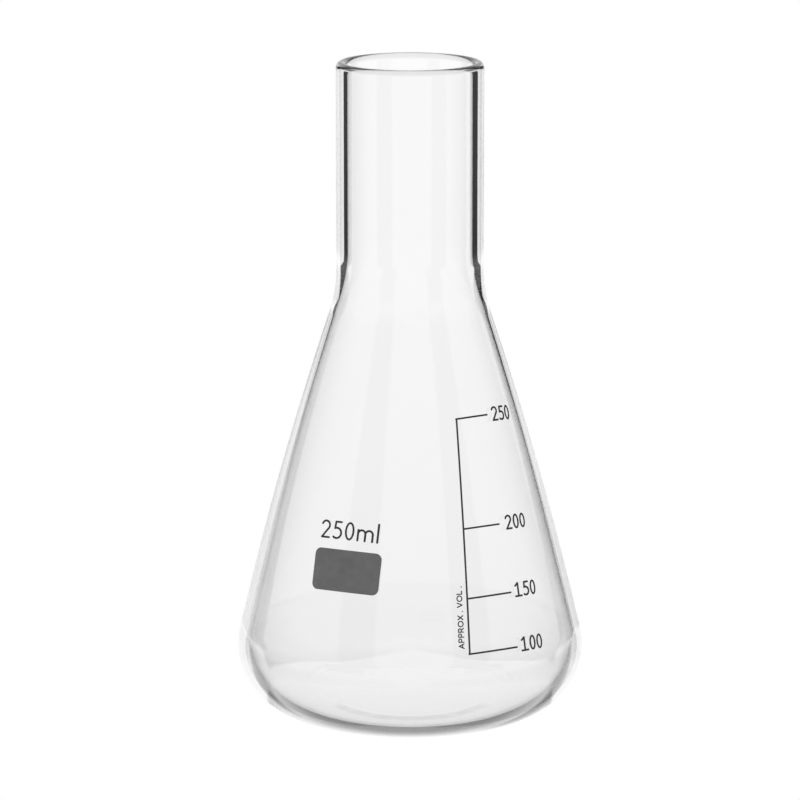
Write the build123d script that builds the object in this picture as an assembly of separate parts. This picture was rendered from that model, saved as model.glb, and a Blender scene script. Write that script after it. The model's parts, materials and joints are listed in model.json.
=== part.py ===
from build123d import *
from math import atan2, cos, degrees, radians, sin, sqrt
import os

# A 250 ml erlenmeyer flask of borosilicate glass with grey fired-on enamel marks.
# Millimetres. The axis of the glass is Z, and the flask stands on Z = 0.
# An azimuth is counted from -Y, the front, towards +X.

os.makedirs("parts", exist_ok=True)

# Outside of the glass
HEIGHT = 157.0
BODY_R = 41.5  # widest, at the heel
NECK_R = 17.5
HEEL_ROUND = 16.0  # rounding from the base into the wall
SHOULDER_ROUND = 34.0  # hollow curve from the wall into the neck
LEAN_FOOT = 13.1  # lean of the wall from upright at the heel, degrees
LEAN_TOP = 18.4  # and at the shoulder, so the wall bows out a little

# Inside of the glass: the wall is thick in the neck and at the heel, and thinnest just
# under the shoulder, where the glass was drawn out the most
NECK_WALL = 2.7
BODY_WALL = 1.85  # at the widest place
FLOOR = 2.0  # at the edge of the flat of the base
INSIDE_HEEL_ROUND = 15.4
INSIDE_SHOULDER_ROUND = 34.0
INSIDE_LEAN_FOOT = 13.2

# The middle of the base is pushed up, so that the flask stands on a flat ring
PUSH_UP = 0.6
RING_R = 20.0  # inner radius of the ring
FLOOR_RISE = 1.0  # how far the middle of the floor lies above its edge

# Enamel
ENAMEL = 0.1  # how far it stands proud of the glass
LINE = 0.42  # width of the scale's lines
NUMERAL = 3.5  # height of the scale's numerals
LEGEND = 1.45  # height of the legend's capitals
LEGEND_GAP = 1.2  # from the scale's line to the feet of the legend's letters
LEGEND_START = 1.25  # from the foot of the scale's line to the legend's first letter
LABEL = 4.3  # height of the capacity label

# Each graduation: its height above the table, its length along the glass, the gap from
# its end to its numeral, and how far the numeral's middle lies above it
GRADUATIONS = {
    250: (76.2, 9.15, 1.4, -0.45),
    200: (51.5, 9.9, 1.8, -0.25),
    150: (35.8, 12.15, 1.1, 0.05),
    100: (23.3, 13.25, 1.15, 0.15),
}
SCALE_TOP, SCALE_FOOT = 24.1, 19.85  # azimuth of the scale's line at 250 and at 100
LABEL_AZIMUTH, LABEL_HEIGHT = -25.4, 50.75
SPOT_AZIMUTH, SPOT_HEIGHT = -25.1, 41.7
SPOT_SIZE, SPOT_CORNER = (17.1, 9.8), 1.5


def wall(neck, body, heel, shoulder, lean_foot, floor):
    """One face of the wall: its corners from the base up, its three arcs, the bow's radius.

    The arcs are the heel, the bowed wall and the shoulder, each one tangent to the next.
    """
    foot, top = radians(lean_foot), radians(LEAN_TOP)
    heel_start = (body - heel, floor)
    heel_end = (body - heel + heel * cos(foot), floor + heel + heel * sin(foot))
    shoulder_r = neck + shoulder * (1 - cos(top))
    bow = (heel_end[0] - shoulder_r) / (cos(foot) - cos(top))
    wall_top = (shoulder_r, heel_end[1] + bow * (sin(top) - sin(foot)))
    neck_start = (neck, wall_top[1] + shoulder * sin(top))
    arcs = [
        TangentArc(heel_start, heel_end, tangent=(1, 0)),
        TangentArc(heel_end, wall_top, tangent=(-sin(foot), cos(foot))),
        TangentArc(wall_top, neck_start, tangent=(-sin(top), cos(top))),
    ]
    return [heel_start, heel_end, wall_top, neck_start], arcs, bow


outside, outside_arcs, outside_bow = wall(
    NECK_R, BODY_R, HEEL_ROUND, SHOULDER_ROUND, LEAN_FOOT, 0
)
inside, inside_arcs, _ = wall(
    NECK_R - NECK_WALL,
    BODY_R - BODY_WALL,
    INSIDE_HEEL_ROUND,
    INSIDE_SHOULDER_ROUND,
    INSIDE_LEAN_FOOT,
    FLOOR,
)


def glass_body():
    """One blown piece: base, heel, bowed wall, shoulder, neck and a fire-rounded lip."""
    lip = NECK_WALL / 2
    bore = NECK_R - NECK_WALL
    underside = [
        TangentArc((0, PUSH_UP), (RING_R, 0), tangent=(1, 0)),
        Line((RING_R, 0), outside[0]),
    ]
    rim = [
        Line(outside[3], (NECK_R, HEIGHT - lip)),
        ThreePointArc(
            (NECK_R, HEIGHT - lip), (NECK_R - lip, HEIGHT), (bore, HEIGHT - lip)
        ),
        Line((bore, HEIGHT - lip), inside[3]),
    ]
    floor = [
        TangentArc((0, FLOOR + FLOOR_RISE), inside[0], tangent=(1, 0)),
        Line((0, FLOOR + FLOOR_RISE), (0, PUSH_UP)),
    ]
    outline = underside + outside_arcs + rim + inside_arcs + floor
    return revolve(Plane.XZ * make_face(outline), Axis.Z)


def enamel_skin():
    """The layer on the bowed wall that every print is cut from."""
    foot, top = radians(LEAN_FOOT), radians(LEAN_TOP)
    low, high = outside[1], outside[2]
    low_out = (low[0] + ENAMEL * cos(foot), low[1] + ENAMEL * sin(foot))
    high_out = (high[0] + ENAMEL * cos(top), high[1] + ENAMEL * sin(top))
    outline = [
        TangentArc(low, high, tangent=(-sin(foot), cos(foot))),
        Line(high, high_out),
        TangentArc(low_out, high_out, tangent=(-sin(foot), cos(foot))),
        Line(low_out, low),
    ]
    return revolve(Plane.XZ * make_face(outline), Axis.Z)


def wall_at(height):
    """Radius of the bowed wall at a height, and its lean there in degrees."""
    foot = radians(LEAN_FOOT)
    centre_r = outside[1][0] - outside_bow * cos(foot)
    rise = height - (outside[1][1] - outside_bow * sin(foot))
    reach = sqrt(outside_bow**2 - rise**2)
    return centre_r + reach, degrees(atan2(rise, reach))


def lay(sketch, azimuth, height, turn=0.0):
    """Press a flat drawing square onto the wall and keep the enamel under it."""
    radius, lean = wall_at(height)
    a, up = radians(azimuth), radians(lean)
    plane = Plane(
        origin=(radius * sin(a), -radius * cos(a), height),
        x_dir=(cos(a), sin(a), 0),
        z_dir=(cos(up) * sin(a), -cos(up) * cos(a), sin(up)),
    )
    block = extrude(plane * (Rot(Z=turn) * sketch), amount=4, both=True)
    return block & SKIN


# Lettering is drawn with a round pen. Characters are drawn one capital high, with pen the
# width of the stroke in capitals, and are brought to size afterwards.


def stroke(pen, *path):
    """One pen stroke along a run of lines and arcs, with round ends."""
    wire = Wire([edge for piece in path for edge in piece.edges()])
    return make_face(offset(wire, pen / 2, side=Side.BOTH).edges())


def oval(pen, width):
    """A round letter, as an oval ring."""
    outer = Ellipse(width / 2, 0.5)
    return outer - Ellipse(width / 2 - pen, 0.5 - pen)


def alphabet(pen):
    """Every character that the prints use."""
    low, high = pen / 2, 1 - pen / 2
    curl = high - 0.7  # radius of the head of a 2
    bowl = 0.335 - low  # of the bowl of a 5
    ear = (high - 0.46) / 2  # of the bowl of a P
    neck = (0.26 + curl * cos(radians(-45)), 0.7 + curl * sin(radians(-45)))
    five = (0.23 + bowl * cos(radians(116)), 0.335 + bowl * sin(radians(116)))
    letter_p = [
        stroke(pen, Line((low, low), (low, high))),
        stroke(
            pen,
            Line((low, high), (0.4, high)),
            CenterArc((0.4, high - ear), ear, 90, -180),
            Line((0.4, 0.46), (low, 0.46)),
        ),
    ]
    strokes = {
        "0": [Pos(0.28, 0.5) * oval(pen, 0.56)],
        "1": [
            stroke(pen, Polyline((0.09, 0.77), (0.32, high), (0.32, low))),
            stroke(pen, Line((0.06, low), (0.6, low))),
        ],
        "2": [
            stroke(
                pen,
                CenterArc((0.26, 0.7), curl, 160, -205),
                Polyline(neck, (low, low), (0.52, low)),
            )
        ],
        "5": [
            stroke(
                pen,
                Polyline((0.48, high), (0.14, high), five),
                CenterArc((0.23, 0.335), bowl, 116, -246),
            )
        ],
        "m": [
            stroke(pen, Line((low, low), (low, 0.63))),
            stroke(
                pen,
                CenterArc((low + 0.21, 0.42), 0.21, 180, -180),
                Line((low + 0.42, 0.42), (low + 0.42, low)),
            ),
            stroke(
                pen,
                CenterArc((low + 0.63, 0.42), 0.21, 180, -180),
                Line((low + 0.84, 0.42), (low + 0.84, low)),
            ),
        ],
        "l": [stroke(pen, Line((low, low), (low, 1.03)))],
        "A": [
            stroke(pen, Polyline((low, low), (0.46, high), (0.92 - low, low))),
            stroke(pen, Line((0.24, 0.34), (0.68, 0.34))),
        ],
        "L": [stroke(pen, Polyline((low, high), (low, low), (0.56, low)))],
        "O": [Pos(0.52, 0.5) * oval(pen, 1.04)],
        "P": letter_p,
        "R": letter_p + [stroke(pen, Line((0.4, 0.46), (0.68, low)))],
        "V": [stroke(pen, Polyline((low, high), (0.43, low), (0.86 - low, high)))],
        "X": [
            stroke(pen, Line((low, low), (0.8 - low, high))),
            stroke(pen, Line((low, high), (0.8 - low, low))),
        ],
        ".": [Pos(0.1, 0.1) * Circle(0.1)],
    }
    return {name: Sketch() + drawn for name, drawn in strokes.items()}


def lettering(text, height, pen, gap, space=0.4):
    """A line of text centred on the origin. Gap and space are in heights."""
    letters, line, x = alphabet(pen / height), Sketch(), 0
    for name in text:
        if name == " ":
            x += space
            continue
        box = letters[name].bounding_box()
        line += Pos(x - box.min.X) * letters[name]
        x += box.size.X + gap
    return Pos((gap - x) * height / 2, -height / 2) * scale(line, height)


def azimuth_on_scale(height, along):
    """Azimuth of a place that lies some way along the glass from the scale's line."""
    top, foot = GRADUATIONS[250][0], GRADUATIONS[100][0]
    share = (height - foot) / (top - foot)
    start = SCALE_FOOT + share * (SCALE_TOP - SCALE_FOOT)
    return start + degrees(along / wall_at(height)[0])


SKIN = enamel_skin()
prints = {}

# The scale: a leaning line, a legend that climbs beside it, and four graduations that
# start at the line. The whole scale is one flat drawing pressed onto a cone, so its
# numerals turn a little with their distance from the line.
top, foot = GRADUATIONS[250][0], GRADUATIONS[100][0]
middle = (top + foot) / 2
middle_r, middle_lean = wall_at(middle)
middle_azimuth = azimuth_on_scale(middle, 0)
rise = (top - foot) / cos(radians(middle_lean))
shift = wall_at(top)[0] * sin(radians(SCALE_TOP - middle_azimuth))
shift -= wall_at(foot)[0] * sin(radians(SCALE_FOOT - middle_azimuth))
slant = degrees(atan2(shift, rise))

line = Rectangle(LINE, rise + LINE)
prints["scale_line"] = lay(line, middle_azimuth, middle, -slant)

legend = lettering("APPROX . VOL .", LEGEND, pen=0.26, gap=0.095)
climb = LEGEND_START + (legend.bounding_box().size.X - rise) / 2
legend = Pos(-LEGEND_GAP - LEGEND / 2, climb) * (Rot(Z=90) * legend)
prints["approx_vol_legend"] = lay(legend, middle_azimuth, middle, -slant)

for value, (height, length, gap, above) in GRADUATIONS.items():
    tick = Rectangle(length, LINE)
    azimuth = azimuth_on_scale(height, length / 2)
    prints[f"graduation_{value}"] = lay(tick, azimuth, height) - prints["scale_line"]

    numeral = lettering(str(value), NUMERAL, pen=0.46, gap=0.12)
    along = length + gap + numeral.bounding_box().size.X / 2
    azimuth = azimuth_on_scale(height, along)
    turn = (azimuth - azimuth_on_scale(height, 0)) * sin(radians(wall_at(height)[1]))
    prints[f"numeral_{value}"] = lay(numeral, azimuth, height + above, slant - turn)

# The label on the other side of the front: the capacity over a spot to write on
capacity = lettering("250ml", LABEL, pen=0.48, gap=0.17)
prints["capacity_label"] = lay(capacity, LABEL_AZIMUTH, LABEL_HEIGHT)
spot = RectangleRounded(*SPOT_SIZE, SPOT_CORNER)
prints["marking_spot"] = lay(spot, SPOT_AZIMUTH, SPOT_HEIGHT)

export_step(glass_body(), "parts/flask_body.step")
for name, enamel in prints.items():
    export_step(enamel, f"parts/{name}.step")
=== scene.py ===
import json
from math import acos, ceil, cos, pi, radians, sin

import bpy
from mathutils import Euler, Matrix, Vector, noise


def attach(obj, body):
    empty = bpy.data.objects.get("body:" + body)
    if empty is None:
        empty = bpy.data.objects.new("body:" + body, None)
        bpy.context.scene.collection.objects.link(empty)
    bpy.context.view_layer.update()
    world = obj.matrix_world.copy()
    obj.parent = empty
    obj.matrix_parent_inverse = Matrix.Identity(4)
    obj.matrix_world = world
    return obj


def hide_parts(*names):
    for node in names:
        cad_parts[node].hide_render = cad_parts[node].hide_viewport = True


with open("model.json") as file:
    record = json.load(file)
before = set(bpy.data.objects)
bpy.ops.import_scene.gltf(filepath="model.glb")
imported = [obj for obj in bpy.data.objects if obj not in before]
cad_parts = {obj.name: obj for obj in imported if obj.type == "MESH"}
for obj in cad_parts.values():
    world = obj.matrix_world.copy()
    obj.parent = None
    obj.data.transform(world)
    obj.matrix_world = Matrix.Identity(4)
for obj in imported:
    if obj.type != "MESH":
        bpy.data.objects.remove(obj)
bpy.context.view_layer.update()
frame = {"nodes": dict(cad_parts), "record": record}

# A 250 ml erlenmeyer flask. The frame is the CAD part's own, in metres: the axis of the
# glass is Z, the flask stands on Z = 0, and -Y is its front. CAD holds every size here.
# The glass is made again as one finely turned mesh, because refraction shows each facet
# of a coarse one. The enamel prints stay the CAD's own, with better materials.

mounts = {mount["name"]: mount for mount in frame["record"]["mounts"]}

# ---------------------------------------------------------------------------
# Glass
# ---------------------------------------------------------------------------

HEIGHT = 0.157
BODY_R = 0.0415
NECK_R = mounts["neck_grip"]["dims"]["r_mm"] / 1000
HEEL_ROUND = 0.016
SHOULDER_ROUND = 0.034
LEAN_FOOT, LEAN_TOP = radians(13.1), radians(18.4)

BORE_R = mounts["mouth"]["dims"]["r_mm"] / 1000
BODY_WALL = 0.00185
FLOOR = 0.002
INSIDE_HEEL_ROUND = 0.0154
INSIDE_SHOULDER_ROUND = 0.034
INSIDE_LEAN_FOOT = radians(13.2)

PUSH_UP = 0.0006  # under the base
RING_R = 0.020  # inner edge of the ring it stands on
FLOOR_RISE = 0.001  # inside the base

FACETS = 288  # round the axis
STEP = 0.0005  # length of a facet along the profile

# Blown glass: the inside wanders a little, so the wall is never quite the same thickness
WANDER = 0.00005
WANDER_SIZE = 0.016


def arc(centre, radius, start, end):
    """Points along an arc in the (r, z) plane, without the last one."""
    steps = max(2, ceil(abs(end - start) * radius / STEP))
    angles = [start + (end - start) * i / steps for i in range(steps)]
    return [(centre[0] + radius * cos(a), centre[1] + radius * sin(a)) for a in angles]


def straight(start, end):
    """Points along a line, without the last one."""
    length = (Vector(end) - Vector(start)).length
    steps = max(2, ceil(length / STEP))
    return [tuple(Vector(start).lerp(Vector(end), i / steps)) for i in range(steps)]


def wall(neck, body, heel, shoulder, lean_foot, floor):
    """One face of the wall from the base up to the neck: heel, bowed wall, shoulder."""
    heel_at = (body - heel, floor + heel)
    foot = (heel_at[0] + heel * cos(lean_foot), heel_at[1] + heel * sin(lean_foot))
    top_r = neck + shoulder * (1 - cos(LEAN_TOP))
    bow = (foot[0] - top_r) / (cos(lean_foot) - cos(LEAN_TOP))
    bow_at = (foot[0] - bow * cos(lean_foot), foot[1] - bow * sin(lean_foot))
    top_z = bow_at[1] + bow * sin(LEAN_TOP)
    shoulder_at = (neck + shoulder, top_z + shoulder * sin(LEAN_TOP))
    points = arc(heel_at, heel, -pi / 2, lean_foot)
    points += arc(bow_at, bow, lean_foot, LEAN_TOP)
    points += arc(shoulder_at, shoulder, pi + LEAN_TOP, pi)
    return points + [(neck, shoulder_at[1])]


def dome(edge_r, edge_z, rise):
    """A shallow dome from its top on the axis down to its edge, without the edge."""
    radius = (edge_r**2 + rise**2) / (2 * rise)
    return arc((0, edge_z + rise - radius), radius, pi / 2, acos(edge_r / radius))


def glass_outside():
    """Half of the outline: from the axis under the base up to the middle of the lip."""
    lip = (NECK_R - BORE_R) / 2
    outer = wall(NECK_R, BODY_R, HEEL_ROUND, SHOULDER_ROUND, LEAN_FOOT, 0)
    points = dome(RING_R, 0, PUSH_UP)
    points += straight((RING_R, 0), outer[0]) + outer[:-1]
    points += straight(outer[-1], (NECK_R, HEIGHT - lip))
    return points + arc((NECK_R - lip, HEIGHT - lip), lip, 0, pi / 2)


def glass_inside():
    """The other half: from the middle of the lip down to the axis inside the base."""
    lip = (NECK_R - BORE_R) / 2
    inner = wall(
        BORE_R,
        BODY_R - BODY_WALL,
        INSIDE_HEEL_ROUND,
        INSIDE_SHOULDER_ROUND,
        INSIDE_LEAN_FOOT,
        FLOOR,
    )
    points = arc((NECK_R - lip, HEIGHT - lip), lip, pi / 2, pi)
    points += straight((BORE_R, HEIGHT - lip), inner[-1]) + inner[::-1]
    return points + dome(inner[0][0], FLOOR, FLOOR_RISE)[::-1]


def wander(x, y, z):
    """How far the inside strays from round at a place, away from the lip and the base."""
    below_lip = min(1, max(0, (HEIGHT - z) / 0.02 - 0.2))
    above_base = min(1, z / 0.012)
    drawn_out = Vector((x, y, z * 0.6))  # the waves run up the wall
    return WANDER * below_lip * above_base * noise.noise(drawn_out / WANDER_SIZE)


def turned_glass(name):
    """The outline turned round Z, with the inside strayed, as one closed mesh."""
    outer, inner = glass_outside(), glass_inside()
    rings = outer[1:] + inner[:-1]
    verts = [(0, 0, outer[0][1])]
    for place, (r, z) in enumerate(rings, start=1):
        for i in range(FACETS):
            x, y = cos(2 * pi * i / FACETS), sin(2 * pi * i / FACETS)
            stray = wander(r * x, r * y, z) if place > len(outer) else 0
            verts.append(((r + stray) * x, (r + stray) * y, z))
    verts.append((0, 0, inner[-1][1]))
    last = len(verts) - 1
    faces = []
    for i in range(FACETS):
        j = (i + 1) % FACETS
        faces.append((0, 1 + j, 1 + i))
        faces.append((last, last - FACETS + i, last - FACETS + j))
        for ring in range(len(rings) - 1):
            low, high = 1 + ring * FACETS, 1 + (ring + 1) * FACETS
            faces.append((low + i, low + j, high + j, high + i))
    mesh = bpy.data.meshes.new(name)
    mesh.from_pydata(verts, [], faces)
    mesh.shade_smooth()
    piece = bpy.data.objects.new(name, mesh)
    bpy.context.scene.collection.objects.link(piece)
    return piece


# ---------------------------------------------------------------------------
# Materials
# ---------------------------------------------------------------------------


def new_material(name):
    """A new node material, its tree and its shader."""
    material = bpy.data.materials.new(name)
    material.use_nodes = True
    tree = material.node_tree
    return material, tree, tree.nodes["Principled BSDF"]


def noise_at(tree, scale, detail, roughness=0.5):
    """Noise through the solid, in metres of the object. Gives its 0 to 1 output."""
    place = tree.nodes.new("ShaderNodeTexCoord")
    grain = tree.nodes.new("ShaderNodeTexNoise")
    grain.inputs["Scale"].default_value = scale
    grain.inputs["Detail"].default_value = detail
    grain.inputs["Roughness"].default_value = roughness
    tree.links.new(place.outputs["Object"], grain.inputs["Vector"])
    return grain.outputs["Fac"]


def spread(tree, value, low, high, start=0.3, end=0.7):
    """The value spread from its usual range to low..high."""
    stretch = tree.nodes.new("ShaderNodeMapRange")
    stretch.inputs["From Min"].default_value = start
    stretch.inputs["From Max"].default_value = end
    stretch.inputs["To Min"].default_value = low
    stretch.inputs["To Max"].default_value = high
    tree.links.new(value, stretch.inputs["Value"])
    return stretch.outputs["Result"]


def bump(tree, shader, height, distance):
    """Raise the surface by the height, which runs from 0 to 1, times the distance."""
    raised = tree.nodes.new("ShaderNodeBump")
    raised.inputs["Strength"].default_value = 1.0
    raised.inputs["Distance"].default_value = distance
    tree.links.new(height, raised.inputs["Height"])
    tree.links.new(raised.outputs["Normal"], shader.inputs["Normal"])


def borosilicate():
    """Clear glass with the faint waviness of a blown skin and a trace of handling."""
    material, tree, shader = new_material("borosilicate_glass")
    shader.inputs["Base Color"].default_value = (1, 1, 1, 1)
    shader.inputs["IOR"].default_value = 1.473
    shader.inputs["Transmission Weight"].default_value = 1.0
    smears = noise_at(tree, scale=45, detail=3)
    tree.links.new(spread(tree, smears, 0.0, 0.02), shader.inputs["Roughness"])
    bump(tree, shader, noise_at(tree, scale=90, detail=1), distance=0.00001)
    return material


def enamel(name, dark, light, roughness):
    """Fired enamel: cloudy where the print took unevenly, with fine pores and gloss."""
    material, tree, shader = new_material(name)
    clouds = noise_at(tree, scale=260, detail=5, roughness=0.65)
    shade = tree.nodes.new("ShaderNodeValToRGB")
    shade.color_ramp.elements[0].position = 0.32
    shade.color_ramp.elements[1].position = 0.68
    shade.color_ramp.elements[0].color = (*dark, 1)
    shade.color_ramp.elements[1].color = (*light, 1)
    tree.links.new(clouds, shade.inputs["Fac"])
    tree.links.new(shade.outputs["Color"], shader.inputs["Base Color"])
    pores = noise_at(tree, scale=2400, detail=2)
    low, high = roughness
    tree.links.new(spread(tree, pores, low, high), shader.inputs["Roughness"])
    bump(tree, shader, pores, distance=0.00003)
    return material


GREY = enamel("grey_enamel", (0.020, 0.020, 0.021), (0.034, 0.034, 0.035), (0.4, 0.55))
SPOT = enamel("spot_enamel", (0.105, 0.105, 0.107), (0.135, 0.135, 0.138), (0.5, 0.65))
for node, thing in frame["nodes"].items():
    if node != "flask_body":
        thing.material_slots[0].material = SPOT if node == "marking_spot" else GREY

glass = turned_glass("clear_glass")
glass.data.materials.append(borosilicate())
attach(glass, "root")
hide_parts("flask_body")

# ---------------------------------------------------------------------------
# Studio: a white tent, and things in it that only the glass shows. Every ray is told
# apart by how often it was reflected and how often it went through a face of the glass:
# - seen directly, the tent and the floor are white
# - only refracted, it meets the tent, a little dimmer towards the table
# - reflected once inside the wall, it meets black cards on both sides of the flask, a
#   painted shadow of the flask close under it and a dark strip on the table to either side
# - reflected off a face, it meets the same cards and the grey room in front
# - guided on inside the wall, it meets a dark table below and the bright tent above
# Angles round are from straight behind the flask, angles up and down from the horizon.
# ---------------------------------------------------------------------------

BLACK = 0.035
CARD_START, CARD_END, CARD_SOFT = radians(34.5), radians(62), radians(1.5)
CARD_TURN = radians(3.0)  # the cards stand turned a little, more to the right
CARD_TOP, CARD_TOP_SOFT = radians(25), radians(12)
CARD_FOOT, CARD_FOOT_SOFT = radians(-11), radians(9)

CARD_STEP = radians(12)  # how much nearer the middle the cards come above the table
CARD_STEP_LOW, CARD_STEP_HIGH = radians(-5), radians(1)
CARD_BACK = 0.5  # share of the step that is left higher up
CARD_BACK_LOW, CARD_BACK_HIGH = radians(2), radians(13)

GROUND_SHADOW = 0.8  # darkest share of black in the painted shadow under the flask
GROUND_SHADOW_START, GROUND_SHADOW_END = radians(-25), radians(-56)
STRIP = 0.8
STRIP_START, STRIP_END = radians(6), radians(16)
STRIP_FAR, STRIP_FAR_SOFT = radians(-21), radians(3)
STRIP_NEAR, STRIP_NEAR_SOFT = radians(-36), radians(4)

ROOM = 0.45
ROOM_START, ROOM_END = radians(75), radians(105)
GUIDED = 0.92  # the brightest that guided light is
GUIDED_LOW, GUIDED_HIGH = radians(-13), radians(7)
TABLE = 0.87
TABLE_START, TABLE_END = radians(-8), radians(-22)


def maths(tree, operation, *values):
    """One maths node. A value is a number or another node's output."""
    node = tree.nodes.new("ShaderNodeMath")
    node.operation = operation
    for place, value in zip(node.inputs, values):
        if isinstance(value, (int, float)):
            place.default_value = value
        else:
            tree.links.new(value, place)
    return node.outputs[0]


def fade(tree, value, start, end, low=0.0, high=1.0):
    """From low at the start to high at the end, smoothly, and flat beyond them."""
    node = tree.nodes.new("ShaderNodeMapRange")
    node.interpolation_type = "SMOOTHSTEP"
    node.inputs["From Min"].default_value = start
    node.inputs["From Max"].default_value = end
    node.inputs["To Min"].default_value = low
    node.inputs["To Max"].default_value = high
    tree.links.new(value, node.inputs["Value"])
    return node.outputs["Result"]


def mixed(tree, share, without, wholly):
    """The share of one value in another. Each is a number or another node's output."""
    node = tree.nodes.new("ShaderNodeMix")
    for place, value in zip(node.inputs[0:1] + node.inputs[2:4], (share, without, wholly)):
        if isinstance(value, (int, float)):
            place.default_value = value
        else:
            tree.links.new(value, place)
    return node.outputs[0]


def band(tree, z, start, end, low=0.0, high=1.0):
    """A fade between two angles of elevation."""
    return fade(tree, z, sin(start), sin(end), low, high)


def edge(tree, side, at):
    """The soft upright edge of a card, from 0 to 1."""
    return fade(tree, side, at - CARD_SOFT, at + CARD_SOFT)


def tent():
    """The world: white all round, with cards, room and a painted shadow under the flask
    for light turned aside.
    """
    world = bpy.data.worlds.new("tent")
    bpy.context.scene.world = world
    world.use_nodes = True
    tree = world.node_tree
    back = tree.nodes["Background"]
    back.inputs["Color"].default_value = (1, 1, 1, 1)
    place = tree.nodes.new("ShaderNodeTexCoord")
    split = tree.nodes.new("ShaderNodeSeparateXYZ")
    tree.links.new(place.outputs["Generated"], split.inputs[0])
    x, y, z = split.outputs

    # How far round, from behind the flask and from the nearer of behind and in front
    turned = maths(tree, "ADD", maths(tree, "ARCTAN2", x, y), CARD_TURN)
    behind = maths(tree, "ABSOLUTE", turned)
    side = maths(tree, "MINIMUM", behind, maths(tree, "SUBTRACT", pi, behind))
    step = band(tree, z, CARD_STEP_LOW, CARD_STEP_HIGH, 0, CARD_STEP)
    back_off = band(tree, z, CARD_BACK_LOW, CARD_BACK_HIGH, 1, CARD_BACK)
    step = maths(tree, "MULTIPLY", step, back_off)
    side, behind = maths(tree, "ADD", side, step), maths(tree, "ADD", behind, step)

    # Reflected once inside the wall: the cards, the painted shadow under the flask and the
    # strips
    start = edge(tree, side, CARD_START)
    end = maths(tree, "SUBTRACT", 1, edge(tree, side, CARD_END))
    card = maths(tree, "MULTIPLY", start, end)
    top = band(tree, z, CARD_TOP, CARD_TOP + CARD_TOP_SOFT, 1, 0)
    foot = band(tree, z, CARD_FOOT - CARD_FOOT_SOFT, CARD_FOOT)
    card = maths(tree, "MULTIPLY", maths(tree, "MULTIPLY", card, top), foot)
    # Painted shadow under the flask: directions looking steeply down are darker
    ground_shadow = band(tree, z, GROUND_SHADOW_END, GROUND_SHADOW_START, GROUND_SHADOW, 0)
    strip = fade(tree, side, STRIP_START, STRIP_END, 0, STRIP)
    far = band(tree, z, STRIP_FAR - STRIP_FAR_SOFT, STRIP_FAR + STRIP_FAR_SOFT, 1, 0)
    near = band(tree, z, STRIP_NEAR - STRIP_NEAR_SOFT, STRIP_NEAR + STRIP_NEAR_SOFT)
    strip = maths(tree, "MULTIPLY", maths(tree, "MULTIPLY", strip, far), near)
    dark = maths(tree, "MAXIMUM", card, maths(tree, "MAXIMUM", ground_shadow, strip))
    round_wall = mixed(tree, dark, 1, BLACK)

    # Reflected off a face, and guided on inside the wall
    front = fade(tree, behind, ROOM_START, ROOM_END, BLACK, ROOM)
    front = mixed(tree, foot, ROOM, front)
    off_face = mixed(tree, edge(tree, behind, CARD_START), 1, front)
    guided = band(tree, z, GUIDED_LOW, GUIDED_HIGH, BLACK, GUIDED)

    path = tree.nodes.new("ShaderNodeLightPath")
    bounces, passes = path.outputs["Glossy Depth"], path.outputs["Transmission Depth"]
    once = maths(tree, "COMPARE", bounces, 1, 0.5)
    once = maths(tree, "MULTIPLY", once, maths(tree, "COMPARE", passes, 2, 0.5))
    reflected = mixed(tree, once, off_face, round_wall)
    reflected = mixed(tree, maths(tree, "GREATER_THAN", bounces, 1.5), reflected, guided)
    table = band(tree, z, TABLE_END, TABLE_START, TABLE, 1)
    refracted = mixed(tree, maths(tree, "MINIMUM", passes, 1), 1, table)
    light = mixed(tree, maths(tree, "MINIMUM", bounces, 1), refracted, reflected)
    tree.links.new(light, back.inputs["Strength"])


def pale_floor():
    """A white sweep that only the camera sees, so it takes no shadow."""
    bpy.ops.mesh.primitive_plane_add(size=20, location=(0, 0, -0.00005))
    floor = bpy.context.object
    floor.name = "floor"
    floor.visible_diffuse = False
    floor.visible_glossy = False
    floor.visible_transmission = False
    floor.visible_shadow = False
    material = bpy.data.materials.new("floor")
    material.use_nodes = True
    tree = material.node_tree
    tree.nodes.clear()
    out = tree.nodes.new("ShaderNodeOutputMaterial")
    glow = tree.nodes.new("ShaderNodeEmission")
    tree.links.new(glow.outputs[0], out.inputs["Surface"])
    floor.data.materials.append(material)


LOOK_DOWN = 12.188  # degrees below the horizon


def camera():
    """In front and above, with a long lens, looking down at the middle of the flask."""
    lens = bpy.data.cameras.new("camera")
    lens.sensor_width = 36
    lens.lens = 192.9
    lens.shift_x = -0.0125
    lens.shift_y = 0.0105
    lens.clip_end = 50
    thing = bpy.data.objects.new("camera", lens)
    bpy.context.scene.collection.objects.link(thing)
    thing.location = (0, -1.0014, 0.28987)
    thing.rotation_euler = Euler((radians(90 - LOOK_DOWN), 0, 0))
    bpy.context.scene.camera = thing


bpy.context.scene.view_settings.view_transform = "Standard"
cycles = bpy.context.scene.cycles  # light runs far round inside the glass before it leaves
cycles.max_bounces = cycles.glossy_bounces = cycles.transmission_bounces = 32
tent()
pale_floor()
camera()
